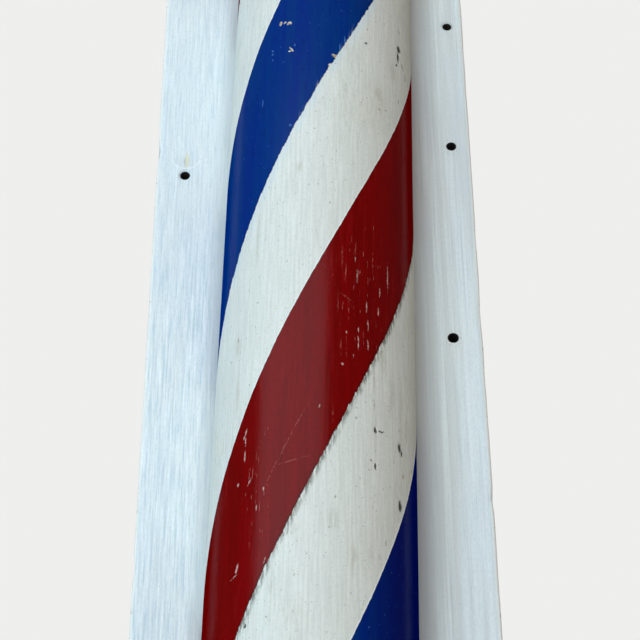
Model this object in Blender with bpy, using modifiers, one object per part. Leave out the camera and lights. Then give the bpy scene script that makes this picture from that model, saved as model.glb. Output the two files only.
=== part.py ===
"""Hand-painted half-round barber pole on a backboard, a trade sign that hangs flat on a wall.

Metres, +Z up the board. The origin is the middle of the board's back face, the front faces -Y,
and +X is to the viewer's right. The pole is a split turning: half a round shaft with a turned
collar and a ball finial at each end, held by wood screws that come through the board from behind.
Its axis lies on the board's front face and leans a little to the right towards the top.
"""

import math

import bmesh
import bpy

OBJECT_NAME = "barber_pole_sign"

# Board: a dressed one-by-six, 36 inches long
BOARD_WIDTH = 0.1397
BOARD_THICKNESS = 0.019
BOARD_LENGTH = 0.9144
BOARD_EDGE_ROUND = 0.0011

# Pole: its axis on the board's front face, and the half-round shaft
POLE_RADIUS = 0.0406
POLE_LEAN = math.radians(1.415)
POLE_SIDE_OFFSET = 0.0014
SHAFT_HALF_LENGTH = 0.322
FIT_GAP = 0.0003
SHAFT_FACETS = 96
TURNING_STEPS = 40

# Turned collar, as distances out from the shaft's end and radii
COLLAR_LENGTH = 0.0394
COLLAR_BASE = (0.003, 0.042)
COLLAR_BEAD = (0.008, 0.041, 0.005)
COLLAR_STEP = (0.0155, 0.0395)
COLLAR_COVE_END = (0.0285, 0.031)
COLLAR_COVE_LIP = 0.0385
COLLAR_FILLET = (0.0306, 0.032)
COLLAR_RIM = (0.035, 0.031, 0.0044, 0.0035)

# Ball finial, as distances out from the collar's end and radii
FINIAL_LENGTH = 0.0645
FINIAL_BASE = (0.0022, 0.0275)
FINIAL_COVE_LIP = 0.0255
FINIAL_COVE_END = (0.0115, 0.0195)
FINIAL_RING = (0.0136, 0.0195, 0.0021, 0.0021)
BALL_CENTRE = 0.033
BALL_RADIUS = 0.026
BUTTON_RADIUS = 0.005

# Number 10 by 1 1/2 inch slotted wood screws, head up in a countersink in the board's back
SCREW_LENGTH = 0.038
SCREW_RADIUS = 0.0024
SCREW_HEAD_RADIUS = 0.00443
SCREW_HEAD_DEPTH = 0.00203
SCREW_HEAD_SUNK = 0.00035
SCREW_POINT_LENGTH = 0.006
SLOT_WIDTH = 0.0012
SLOT_DEPTH = 0.001
SLOT_TURN = math.radians(37.0)
PILOT_DEPTH = 0.039
COUNTERSINK_MOUTH = 0.0052
SCREW_STEPS = 16
SHAFT_SCREW_PLACES = (-0.285, -0.095, 0.095, 0.285)
COLLAR_SCREW_PLACE = 0.008
FINIAL_SCREW_PLACE = BALL_CENTRE

# Dowels between the turnings
SHAFT_DOWEL_RADIUS = 0.005
SHAFT_DOWEL_REACH = 0.014
SHAFT_DOWEL_SIDE = 0.016
SHAFT_DOWEL_OUT = 0.016
FINIAL_DOWEL_RADIUS = 0.004
FINIAL_DOWEL_REACH = 0.013
FINIAL_DOWEL_OUT = 0.012
DOWEL_CHAMFER = 0.0006
DOWEL_FACETS = 24

# Wall screw holes through the board: across, up, hole radius, countersink mouth radius or 0
WALL_HOLES = (
    (0.0627, 0.1470, 0.0019, 0.0031),
    (0.0613, 0.0770, 0.0021, 0.0),
    (0.0575, -0.0208, 0.0022, 0.0),
    (-0.0572, 0.0623, 0.0020, 0.0029),
    (0.0606, 0.3790, 0.0021, 0.0),
    (-0.0589, 0.3905, 0.0020, 0.0),
    (0.0591, -0.2350, 0.0021, 0.0),
    (-0.0578, -0.1880, 0.0021, 0.0),
    (0.0612, -0.3980, 0.0020, 0.0030),
    (-0.0583, -0.4060, 0.0021, 0.0),
)
HOLE_FACETS = 20

# Finishes: colour, roughness, metallic
WHITEWASH = ((0.62, 0.67, 0.69, 1.0), 0.72, 0.0)
WHITE_PAINT = ((0.74, 0.76, 0.73, 1.0), 0.38, 0.0)
BLUE_PAINT = ((0.002, 0.025, 0.19, 1.0), 0.32, 0.0)
RED_PAINT = ((0.13, 0.003, 0.003, 1.0), 0.32, 0.0)
OLD_STEEL = ((0.32, 0.29, 0.26, 1.0), 0.5, 0.9)
BARE_WOOD = ((0.52, 0.36, 0.2, 1.0), 0.7, 0.0)


def clear_scene():
    """Removes whatever the file held."""
    for obj in list(bpy.data.objects):
        bpy.data.objects.remove(obj, do_unlink=True)


def new_collection(name):
    """A collection under the scene's own."""
    collection = bpy.data.collections.new(name)
    bpy.context.scene.collection.children.link(collection)
    return collection


def finish_material(name, finish):
    """A Principled material with one finish."""
    colour, roughness, metallic = finish
    material = bpy.data.materials.new(name)
    material.use_nodes = True
    shader = material.node_tree.nodes["Principled BSDF"]
    shader.inputs["Base Color"].default_value = colour
    shader.inputs["Roughness"].default_value = roughness
    shader.inputs["Metallic"].default_value = metallic
    return material


def add_object(name, mesh_builder, collection, parent=None, location=(0, 0, 0), rotation=(0, 0, 0)):
    """An object whose mesh is what the bmesh builder leaves behind."""
    mesh = bpy.data.meshes.new(name)
    shape = bmesh.new()
    mesh_builder(shape)
    shape.to_mesh(mesh)
    shape.free()
    obj = bpy.data.objects.new(name, mesh)
    collection.objects.link(obj)
    obj.parent = parent
    obj.location = location
    obj.rotation_euler = rotation
    return obj


def paint(obj, finish):
    """The object's own material."""
    obj.data.materials.append(finish_material(obj.name + "_finish", finish))
    return obj


def as_cutter(obj):
    """Marks an object as a tool that is never shown."""
    obj.hide_render = True
    obj.display_type = "WIRE"
    return obj


def cut(obj, cutters):
    """Takes each cutter out of the object."""
    for cutter in cutters:
        boolean = obj.modifiers.new(cutter.name, "BOOLEAN")
        boolean.operation = "DIFFERENCE"
        boolean.object = cutter


def block(size):
    """Builder of a box of this size about its origin."""
    def build(shape):
        made = bmesh.ops.create_cube(shape, size=1.0)
        bmesh.ops.scale(shape, vec=size, verts=made["verts"])
    return build


def rod(radius, length, facets):
    """Builder of a round bar along Z about its origin."""
    def build(shape):
        bmesh.ops.create_cone(
            shape, cap_ends=True, segments=facets, radius1=radius, radius2=radius, depth=length
        )
    return build


def profile_line(points):
    """Builder of an open profile in the XZ plane: (radius, height) from the top to the bottom."""
    def build(shape):
        corners = [shape.verts.new((radius, 0.0, height)) for radius, height in points]
        for upper, lower in zip(corners, corners[1:]):
            shape.edges.new((upper, lower))
    return build


def turned(name, points, steps, collection, **placing):
    """A solid of revolution about its own Z."""
    obj = add_object(name, profile_line(points), collection, **placing)
    screw = obj.modifiers.new("turning", "SCREW")
    screw.axis = "Z"
    screw.angle = 2.0 * math.pi
    screw.steps = steps
    screw.render_steps = steps
    screw.use_merge_vertices = True
    screw.merge_threshold = 0.00002
    screw.use_smooth_shade = True
    return obj


def arc(centre_out, centre_radius, half_length, rise, start, end, count):
    """Points (out, radius) of an elliptic arc: 180 degrees is towards the shaft, 90 is outward."""
    points = []
    for index in range(count + 1):
        angle = math.radians(start + (end - start) * index / count)
        points.append((
            centre_out + half_length * math.cos(angle),
            centre_radius + rise * math.sin(angle),
        ))
    return points


def collar_outline():
    """The collar from the shaft's end outward: base, bead, step, cove, fillet and rim bead."""
    base_end, base_radius = COLLAR_BASE
    bead_centre, bead_root, bead_size = COLLAR_BEAD
    step_end, step_radius = COLLAR_STEP
    cove_end, cove_radius = COLLAR_COVE_END
    fillet_end, fillet_radius = COLLAR_FILLET
    rim_centre, rim_root, rim_half, rim_rise = COLLAR_RIM
    outline = [(0.0, 0.0), (0.0, base_radius), (base_end, base_radius)]
    outline += arc(bead_centre, bead_root, bead_size, bead_size, 180, 0, 10)
    outline += [(bead_centre + bead_size, step_radius), (step_end, step_radius)]
    outline += arc(
        cove_end, COLLAR_COVE_LIP, cove_end - step_end, COLLAR_COVE_LIP - cove_radius, 180, 270, 8
    )
    outline += [(cove_end, fillet_radius), (fillet_end, fillet_radius)]
    outline += arc(rim_centre, rim_root, rim_half, rim_rise, 180, 0, 8)
    outline += [(COLLAR_LENGTH, 0.0)]
    return outline


def finial_outline():
    """The finial from the collar's end outward: base, cove, ring, ball and button."""
    base_end, base_radius = FINIAL_BASE
    cove_end, cove_radius = FINIAL_COVE_END
    ring_centre, ring_root, ring_half, ring_rise = FINIAL_RING
    ball_start = 180.0 - math.degrees(math.asin(ring_root / BALL_RADIUS))
    ball_end = math.degrees(math.asin((BUTTON_RADIUS + 0.001) / BALL_RADIUS))
    button_centre = FINIAL_LENGTH - BUTTON_RADIUS
    outline = [(0.0, 0.0), (0.0, base_radius), (base_end, base_radius)]
    outline += arc(
        cove_end, FINIAL_COVE_LIP, cove_end - base_end, FINIAL_COVE_LIP - cove_radius, 180, 270, 6
    )
    outline += arc(ring_centre, ring_root, ring_half, ring_rise, 165, 15, 5)
    outline += arc(BALL_CENTRE, 0.0, BALL_RADIUS, BALL_RADIUS, ball_start, ball_end, 16)
    outline += arc(button_centre, 0.0, BUTTON_RADIUS, BUTTON_RADIUS, 90, 0, 5)
    outline[-1] = (FINIAL_LENGTH, 0.0)
    return outline


def along_pole(outline, start, side):
    """The outline set at its place on the axis, top to bottom; side is +1 for the upper end."""
    placed = [(radius, side * (start + out)) for out, radius in outline]
    return placed[::-1] if side > 0 else placed


def screw_profile(head_radius, head_depth, shank_radius, length, point_length, above):
    """A countersunk screw or its hole, head up: the head's top is at 'above'."""
    return [
        (0.0, above),
        (head_radius, above),
        (shank_radius, above - head_depth),
        (shank_radius, above - length + point_length),
        (0.0, above - length),
    ]


def screw_hole_profile():
    """The countersink, clearance hole and pilot hole of one screw, past the board's back by 1 mm."""
    past = 0.001
    hole_radius = SCREW_RADIUS + FIT_GAP
    return screw_profile(
        COUNTERSINK_MOUTH + past, COUNTERSINK_MOUTH + past - hole_radius, hole_radius,
        PILOT_DEPTH + past, SCREW_POINT_LENGTH, past,
    )


def screw_places():
    """Each wood screw's name, place along the pole and the piece that it holds."""
    places = [
        (f"shaft_screw_{number}", along, "pole_shaft")
        for number, along in enumerate(SHAFT_SCREW_PLACES, 1)
    ]
    for end, side in (("lower", -1), ("upper", 1)):
        collar = side * (SHAFT_HALF_LENGTH + FIT_GAP + COLLAR_SCREW_PLACE)
        finial = side * (SHAFT_HALF_LENGTH + 2 * FIT_GAP + COLLAR_LENGTH + FINIAL_SCREW_PLACE)
        places.append((f"{end}_collar_screw", collar, f"{end}_collar"))
        places.append((f"{end}_finial_screw", finial, f"{end}_finial"))
    return places


def dowel_places():
    """Each dowel's name, place in the pole's frame, radius, reach and the two pieces it joins."""
    places = []
    for end, side in (("lower", -1), ("upper", 1)):
        shaft_joint = side * (SHAFT_HALF_LENGTH + FIT_GAP / 2)
        finial_joint = side * (SHAFT_HALF_LENGTH + COLLAR_LENGTH + 1.5 * FIT_GAP)
        for hand, across in (("left", -SHAFT_DOWEL_SIDE), ("right", SHAFT_DOWEL_SIDE)):
            places.append((
                f"{end}_collar_dowel_{hand}", (across, -SHAFT_DOWEL_OUT, shaft_joint),
                SHAFT_DOWEL_RADIUS, SHAFT_DOWEL_REACH, ("pole_shaft", f"{end}_collar"),
            ))
        places.append((
            f"{end}_finial_dowel", (0.0, -FINIAL_DOWEL_OUT, finial_joint),
            FINIAL_DOWEL_RADIUS, FINIAL_DOWEL_REACH, (f"{end}_collar", f"{end}_finial"),
        ))
    return places


def make_pole_axis(parts):
    """The frame that every piece of the pole is placed in."""
    axis = bpy.data.objects.new("pole_axis", None)
    parts.objects.link(axis)
    axis.location = (POLE_SIDE_OFFSET, -BOARD_THICKNESS, 0.0)
    axis.rotation_euler = (0.0, POLE_LEAN, 0.0)
    return axis


def make_backboard(parts):
    """The board with its arrises rounded."""
    board = add_object(
        "backboard", block((BOARD_WIDTH, BOARD_THICKNESS, BOARD_LENGTH)), parts,
        location=(0.0, -BOARD_THICKNESS / 2, 0.0),
    )
    rounding = board.modifiers.new("worn_arrises", "BEVEL")
    rounding.width = BOARD_EDGE_ROUND
    rounding.segments = 3
    return paint(board, WHITEWASH)


def cut_wall_holes(board, cutters):
    """The holes that the sign was screwed to a wall through."""
    past = 0.001
    for number, (across, up, radius, mouth) in enumerate(WALL_HOLES, 1):
        head = mouth + past if mouth else radius
        points = [
            (0.0, past), (head, past), (radius, past - (head - radius)),
            (radius, -BOARD_THICKNESS - past), (0.0, -BOARD_THICKNESS - past),
        ]
        if not mouth:
            del points[2]
        hole = turned(
            f"wall_hole_{number}", points, HOLE_FACETS, cutters,
            location=(across, -BOARD_THICKNESS, up), rotation=(math.pi / 2, 0.0, 0.0),
        )
        cut(board, [as_cutter(hole)])


def make_pole(parts, cutters, axis):
    """The shaft, collars and finials, each half of a full turning."""
    shaft = add_object(
        "pole_shaft", rod(POLE_RADIUS, 2 * SHAFT_HALF_LENGTH, SHAFT_FACETS), parts, parent=axis
    )
    shaft.data.shade_smooth()
    shaft.data.set_sharp_from_angle(angle=math.radians(40))
    pieces = {"pole_shaft": paint(shaft, WHITE_PAINT)}
    collar_start = SHAFT_HALF_LENGTH + FIT_GAP
    finial_start = collar_start + COLLAR_LENGTH + FIT_GAP
    for end, side in (("lower", -1), ("upper", 1)):
        collar = turned(
            f"{end}_collar", along_pole(collar_outline(), collar_start, side),
            TURNING_STEPS, parts, parent=axis,
        )
        finial = turned(
            f"{end}_finial", along_pole(finial_outline(), finial_start, side),
            TURNING_STEPS, parts, parent=axis,
        )
        pieces[collar.name] = paint(collar, BLUE_PAINT)
        pieces[finial.name] = paint(finial, RED_PAINT)
    back_half = 2 * POLE_RADIUS
    splitter = add_object(
        "back_half", block((4 * POLE_RADIUS, back_half, 2 * BOARD_LENGTH)), cutters,
        parent=axis, location=(0.0, back_half / 2 - FIT_GAP, 0.0),
    )
    as_cutter(splitter)
    for piece in pieces.values():
        cut(piece, [splitter])
    return pieces


def make_screws(parts, cutters, axis, board, pieces):
    """The wood screws from behind, each with its hole through the board into the pole."""
    upright = (-math.pi / 2, 0.0, 0.0)
    for number, (name, along, held) in enumerate(screw_places()):
        back = (0.0, BOARD_THICKNESS, along)
        hole = turned(
            name + "_hole", screw_hole_profile(), SCREW_STEPS, cutters,
            parent=axis, location=back, rotation=upright,
        )
        as_cutter(hole)
        cut(board, [hole])
        cut(pieces[held], [hole])
        points = screw_profile(
            SCREW_HEAD_RADIUS, SCREW_HEAD_DEPTH, SCREW_RADIUS,
            SCREW_LENGTH, SCREW_POINT_LENGTH, -SCREW_HEAD_SUNK,
        )
        screw = turned(
            name, points, SCREW_STEPS, parts, parent=axis, location=back, rotation=upright
        )
        slot = add_object(
            name + "_slot", block((4 * SCREW_HEAD_RADIUS, SLOT_WIDTH, 2 * SLOT_DEPTH)), cutters,
            parent=screw, location=(0.0, 0.0, -SCREW_HEAD_SUNK),
            rotation=(0.0, 0.0, SLOT_TURN * number),
        )
        cut(paint(screw, OLD_STEEL), [as_cutter(slot)])


def make_dowels(parts, cutters, axis, pieces):
    """The dowels that line the turnings up, each with its blind hole in both neighbours."""
    for name, place, radius, reach, joined in dowel_places():
        hole = add_object(
            name + "_hole", rod(radius + FIT_GAP, 2 * (reach + 0.001), DOWEL_FACETS), cutters,
            parent=axis, location=place,
        )
        as_cutter(hole)
        for piece in joined:
            cut(pieces[piece], [hole])
        dowel = add_object(
            name, rod(radius, 2 * reach, DOWEL_FACETS), parts, parent=axis, location=place
        )
        chamfer = dowel.modifiers.new("chamfered_ends", "BEVEL")
        chamfer.width = DOWEL_CHAMFER
        chamfer.segments = 1
        chamfer.limit_method = "ANGLE"
        chamfer.angle_limit = math.radians(60)
        paint(dowel, BARE_WOOD)


def main():
    clear_scene()
    parts = new_collection(OBJECT_NAME)
    cutters = new_collection("cutters")
    axis = make_pole_axis(parts)
    board = make_backboard(parts)
    cut_wall_holes(board, cutters)
    pieces = make_pole(parts, cutters, axis)
    make_screws(parts, cutters, axis, board, pieces)
    make_dowels(parts, cutters, axis, pieces)


main()
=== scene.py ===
"""The looks of a half-round barber pole sign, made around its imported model.

Laid out as an add-on: settings hold the sizes and colours that a painter or a joiner would change,
and each operator makes one piece or one group of like pieces. Lengths are metres, and the patterns
of the finishes are worked out in millimetres.
"""

import math

import bmesh
import bpy
from mathutils import Matrix, Vector, noise


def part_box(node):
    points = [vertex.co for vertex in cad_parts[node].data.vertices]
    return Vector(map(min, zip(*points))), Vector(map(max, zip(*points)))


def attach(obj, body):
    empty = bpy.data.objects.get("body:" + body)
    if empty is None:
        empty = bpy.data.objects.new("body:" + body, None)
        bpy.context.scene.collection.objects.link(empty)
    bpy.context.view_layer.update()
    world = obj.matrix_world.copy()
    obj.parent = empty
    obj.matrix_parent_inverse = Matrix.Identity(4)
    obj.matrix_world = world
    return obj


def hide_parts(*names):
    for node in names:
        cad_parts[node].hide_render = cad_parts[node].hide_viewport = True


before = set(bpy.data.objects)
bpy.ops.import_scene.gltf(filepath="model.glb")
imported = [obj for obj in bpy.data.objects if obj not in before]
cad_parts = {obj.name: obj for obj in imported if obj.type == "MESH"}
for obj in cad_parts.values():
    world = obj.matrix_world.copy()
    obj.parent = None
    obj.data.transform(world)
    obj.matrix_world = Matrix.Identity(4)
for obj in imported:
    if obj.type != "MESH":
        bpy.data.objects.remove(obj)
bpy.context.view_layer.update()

bl_info = {
    "name": "Barber Pole Sign",
    "version": (1, 0, 0),
    "blender": (4, 5, 0),
    "location": "View3D > Sidebar > Barber Pole",
    "description": "Builds a hand-painted half-round barber pole on its whitewashed backboard",
    "category": "Object",
}

MM = 0.001


# ---------------------------------------------------------------- places read from the frame

def middle(node):
    """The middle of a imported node's box."""
    low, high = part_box(node)
    return (low + high) / 2


BOARD_LOW, BOARD_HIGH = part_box("backboard")
FRONT = BOARD_LOW.y
UPPER_BALL, LOWER_BALL = middle("upper_finial"), middle("lower_finial")
LEAN = math.atan2(UPPER_BALL.x - LOWER_BALL.x, UPPER_BALL.z - LOWER_BALL.z)
AXIS_FOOT = Vector(((UPPER_BALL.x + LOWER_BALL.x) / 2, FRONT, 0.0))
POLE_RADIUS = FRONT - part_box("pole_shaft")[0].y
SHAFT_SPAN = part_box("pole_shaft")[1].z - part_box("pole_shaft")[0].z
SHAFT_HALF = (SHAFT_SPAN / 2 - POLE_RADIUS * math.sin(LEAN)) / math.cos(LEAN)
TO_ROW = Matrix.Translation(AXIS_FOOT) @ Matrix.Rotation(LEAN, 4, "Y")
GAP = 0.3 * MM


# ---------------------------------------------------------------- measures

# Wood screws, and their slots and threads: the outline is (radius, height) from the head down
SCREW_CORE = 1.75 * MM
SCREW_OUTLINE = (
    (0.0, 0.0), (4.2 * MM, 0.0), (4.4 * MM, -0.15 * MM), (2.35 * MM, -2.1 * MM), (2.35 * MM, -13 * MM),
    (SCREW_CORE, -14 * MM), (SCREW_CORE, -34 * MM), (0.0, -37.2 * MM),
)
SCREW_DROP = 0.35 * MM
THREAD_START, THREAD_END = 13.5 * MM, 34.5 * MM
THREAD_PITCH, THREAD_CREST = 2.1 * MM, 2.38 * MM
SLOT_BLOCK = (20 * MM, 1.2 * MM, 2 * MM)
SLOT_TURN = 37

FLUTES = 12
FLUTE_DEPTH = 0.05

# Ends of the pole, in millimetres out from the shaft's end
WHITE_COVE = (15.6, 30.6)
FINIAL_START = 39.7
WHITE_NECK = (FINIAL_START + 2.2, FINIAL_START + 15.6)

# A dent is pressed in this much wider than it is painted
DENT_SPREAD = 1.2
KNOCK_REACH = 4 * MM

# A chip and a washer's print beside the left countersunk hole: across, up, in millimetres
CHIP_PLACE = (-56.6, 70.0)
WASHER_PLACE = (-56.8, 72.0)

SENSOR_WIDTH = 36.0
FLOOR_SIZE = 20.0
LIGHT_DISTANCE = 1.6
DIM_ROOM = (0.07, 0.072, 0.075)
PALE_BACKDROP = (0.86, 0.86, 0.85)
BRIGHT_CEILING = (1.44, 1.47, 1.50)

# Wall screw holes: across, up, hole radius, countersink mouth radius or 0
WALL_HOLES = (
    (0.0627, 0.1470, 0.0019, 0.0031),
    (0.0613, 0.0770, 0.0021, 0.0),
    (0.0575, -0.0208, 0.0022, 0.0),
    (-0.0572, 0.0623, 0.0020, 0.0029),
    (0.0606, 0.3790, 0.0021, 0.0),
    (-0.0589, 0.3905, 0.0020, 0.0),
    (0.0591, -0.2350, 0.0021, 0.0),
    (-0.0578, -0.1880, 0.0021, 0.0),
    (0.0612, -0.3980, 0.0020, 0.0030),
    (-0.0583, -0.4060, 0.0021, 0.0),
)

# Knocks in the board's front arrises: side, height, half length, depth
ARRIS_KNOCKS = (
    (-1, 0.075, 0.0022, 0.0011), (-1, 0.069, 0.0014, 0.0008), (-1, 0.236, 0.0035, 0.0012),
    (-1, -0.121, 0.0020, 0.0007), (-1, -0.305, 0.0040, 0.0013), (1, 0.118, 0.0018, 0.0006),
    (1, -0.092, 0.0016, 0.0007), (1, 0.291, 0.0030, 0.0011), (1, -0.348, 0.0038, 0.0012),
)

# Marks on the pole: degrees round from the middle, millimetres up, half width, half length, tilt
DENTS = (
    (57, 115, 1.5, 2.0, 0), (56, 110, 0.8, 3.2, 0), (54, 105, 0.7, 0.7, 0), (54, -81, 1.1, 1.9, 0),
    (56, -83, 0.5, 1.5, 0), (54, -105, 1.0, 2.4, 0), (35, -78, 0.75, 1.4, 0), (39, -78, 1.3, 0.35, 0),
    (35, -93, 0.5, 1.3, 0), (32, -91, 0.4, 0.4, 0), (-34, -155, 0.5, 0.8, 0), (28, 107, 0.5, 0.6, 0),
    (-12, 214, 1.2, 3.0, 15), (22, -236, 1.5, 2.6, 0), (-38, -262, 1.0, 3.4, 15),
)
SCUFFS = (
    (61, 107, 0.8, 1.9, -30), (65, 103, 0.6, 2.2, 0), (57, 125, 0.4, 1.2, -60), (38, 74, 0.9, 0.35, 0),
    (43, 75, 0.9, 0.35, 0), (56, 85, 0.5, 1.3, 0), (57, -92, 0.5, 1.0, 0), (34, -68, 0.25, 2.4, 0),
    (23, -75, 0.5, 0.8, 0), (75, -70, 0.35, 4.0, 0), (68, -87, 0.4, 0.9, 0), (42, -122, 0.4, 1.2, 0),
    (34, -57, 0.2, 6.0, 0),
    (12, -108, 0.4, 0.8, 0), (9, -120, 0.4, 0.4, 0), (-14, -123, 0.4, 0.4, 0), (-32, -153, 0.2, 4.2, 0),
    (-8, -138, 0.4, 0.4, 0), (-22, -153, 0.4, 0.4, 0), (70, 196, 0.8, 2.6, 0), (-30, -240, 0.6, 2.4, 30),
    (-49, -37, 0.45, 1.1, 0), (61, -72, 0.3, 5.0, 0),
)
PALE_SCRATCHES = (
    (22, -5, 0.35, 1.0, 0), (23, -13, 0.45, 2.9, 0), (44, -9, 0.5, 5.8, 0), (38, -17, 0.55, 2.1, 0),
    (29, -26, 0.5, 2.1, 0), (37, -26, 0.5, 1.7, 0), (30, -34, 0.5, 2.2, 0), (24, -37, 0.45, 1.2, 0),
    (24, -41, 0.45, 1.4, 0), (24, -44, 0.45, 1.6, 0), (30, -43, 0.5, 2.1, 0), (21, -49, 0.4, 0.8, 0),
    (15, -53, 0.8, 0.6, 0), (17, -39, 0.4, 0.5, 0), (63, -4, 0.5, 2.0, 0), (3, -72, 0.7, 0.5, 0),
    (-39, -79, 0.6, 1.4, 15), (-40, -81, 0.55, 1.0, 15), (-39, -83, 0.5, 1.7, 0), (-39, -89, 0.55, 2.4, 0),
    (-35, -100, 0.5, 1.5, 30), (-43, -100, 0.8, 0.7, 0), (-26, -104, 0.45, 0.8, 0),
    (-30, -111, 0.55, 1.1, 0), (-41, -133, 0.85, 2.0, 15), (-43, -136, 0.35, 1.9, 60),
    (-24, -132, 0.4, 1.5, 15), (12, 250, 0.5, 3.0, 0), (-20, 262, 0.4, 2.4, 0), (48, 300, 0.6, 2.0, 15),
)
FAINT_SCRATCHES = (
    (-15, -88, 0.32, 18.0, 26), (-11, -94, 0.32, 5.8, 75), (22, 0, 0.3, 3.4, 0), (14, -5, 0.4, 5.0, 0),
    (16, -12, 0.4, 4.0, 0), (33, -4, 0.3, 5.0, 0), (18, -29, 0.4, 4.5, 0), (12, -26, 0.3, 4.5, 0),
    (17, -45, 0.3, 5.0, 0), (14, -46, 0.4, 3.4, 0), (16, -23, 0.4, 3.2, -60), (30, -14, 0.3, 1.6, 0),
    (10, -75, 0.3, 2.8, 0), (4, -10, 1.0, 0.9, 0), (27, -39, 0.4, 2.2, 0), (-24, -146, 0.6, 8.0, 0),
)
TAN_CHIPS = (
    (-27, 117, 0.9, 1.1, 30), (-24, 117, 0.8, 0.5, 0), (-21, 116, 1.3, 0.9, 0), (-19, 101, 0.6, 1.6, -30),
    (-20, 100, 0.9, 0.4, 0), (8, 96, 1.9, 0.8, 30), (5, 91, 0.9, 0.9, 0), (30, -217, 1.6, 1.2, 0),
)
SMUDGES = (
    (-49, -39, 1.8, 5.0, 0), (-47, -62, 1.0, 11.0, 0), (-37, 6, 0.7, 12.0, 0), (47, -60, 1.7, 9.0, 0),
    (40, -47, 1.8, 6.0, 0), (55, -72, 1.3, 16.0, 0), (50, 99, 2.6, 5.0, 0), (37, 82, 2.2, 3.0, 0),
    (-12, 38, 1.6, 2.2, 0), (11, -117, 2.2, 4.0, 0), (22, -131, 1.5, 5.5, 0), (-20, -141, 1.4, 4.0, 0),
    (20, 282, 2.2, 8.0, 0), (-40, -300, 2.2, 9.0, 0),
)
RUBBED_RED = (
    (28, -18, 17.0, 42.0, 0), (-30, -104, 11.0, 34.0, 0), (16, 236, 18.0, 40.0, 0),
    (-34, -262, 14.0, 36.0, 0),
)
BLUE_FLECKS = (
    (-32, 103, 0.5, 0.6, 0), (-32, 101, 0.5, 0.6, 0), (-32, 98, 0.4, 0.6, 0), (-17, 103, 0.4, 0.7, 0),
    (-38, 76, 0.35, 2.2, 0), (-18, 60, 0.7, 0.7, 30), (14, 105, 0.4, 3.0, 0), (11, 101, 0.4, 2.6, 0),
)


# ---------------------------------------------------------------- settings

class SignBoardSettings(bpy.types.PropertyGroup):
    """Sizes and colours of the backboard."""

    cell: bpy.props.FloatProperty(
        name="Mesh Cell", description="Spacing of the board's mesh", default=0.0028,
        min=0.001, unit="LENGTH",
    )
    arris: bpy.props.FloatProperty(
        name="Worn Arris", description="Radius that the board's edges are worn to", default=0.0011,
        unit="LENGTH",
    )
    relief: bpy.props.FloatProperty(
        name="Relief", description="Unevenness of the planed faces", default=0.00012, unit="LENGTH",
    )
    whitewash: bpy.props.FloatVectorProperty(
        name="Whitewash", description="Colour of the brushed whitewash", size=3, subtype="COLOR",
        default=(0.80, 0.86, 0.88),
    )
    thin_wash: bpy.props.FloatVectorProperty(
        name="Thin Wash", description="Colour where the wash is worn thin along the grain",
        size=3, subtype="COLOR", default=(0.71, 0.765, 0.785),
    )
    bare_pine: bpy.props.FloatVectorProperty(
        name="Bare Pine", description="Colour of the unpainted back", size=3, subtype="COLOR",
        default=(0.40, 0.26, 0.145),
    )


class SignPoleSettings(bpy.types.PropertyGroup):
    """Sizes and colours of the painted pole."""

    climb: bpy.props.FloatProperty(
        name="Climb", description="Height that a stripe gains in a full turn", default=0.5424,
        unit="LENGTH",
    )
    repeat: bpy.props.FloatProperty(
        name="Repeat", description="Height after which the colours repeat", default=0.366,
        unit="LENGTH",
    )
    start: bpy.props.FloatProperty(
        name="Start", description="Height where the repeat starts, in the middle of a white band",
        default=0.0368, unit="LENGTH",
    )
    stripe: bpy.props.FloatProperty(
        name="Stripe", description="Height of a coloured stripe", default=0.0903, unit="LENGTH",
    )
    blue_start: bpy.props.FloatProperty(
        name="Blue Start", description="Height of the blue stripe's lower edge in the repeat",
        default=0.046, unit="LENGTH",
    )
    red_start: bpy.props.FloatProperty(
        name="Red Start", description="Height of the red stripe's lower edge in the repeat",
        default=0.2298, unit="LENGTH",
    )
    white: bpy.props.FloatVectorProperty(
        name="White", description="White ground coat", size=3, subtype="COLOR",
        default=(0.778, 0.775, 0.715),
    )
    blue: bpy.props.FloatVectorProperty(
        name="Blue", description="Blue stripe", size=3, subtype="COLOR", default=(0.0, 0.021, 0.180),
    )
    red: bpy.props.FloatVectorProperty(
        name="Red", description="Red stripe", size=3, subtype="COLOR", default=(0.190, 0.0004, 0.0006),
    )
    gloss: bpy.props.FloatProperty(
        name="Gloss Roughness", description="Roughness of the sound oil paint", default=0.15,
        min=0.0, max=1.0, subtype="FACTOR",
    )


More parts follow.
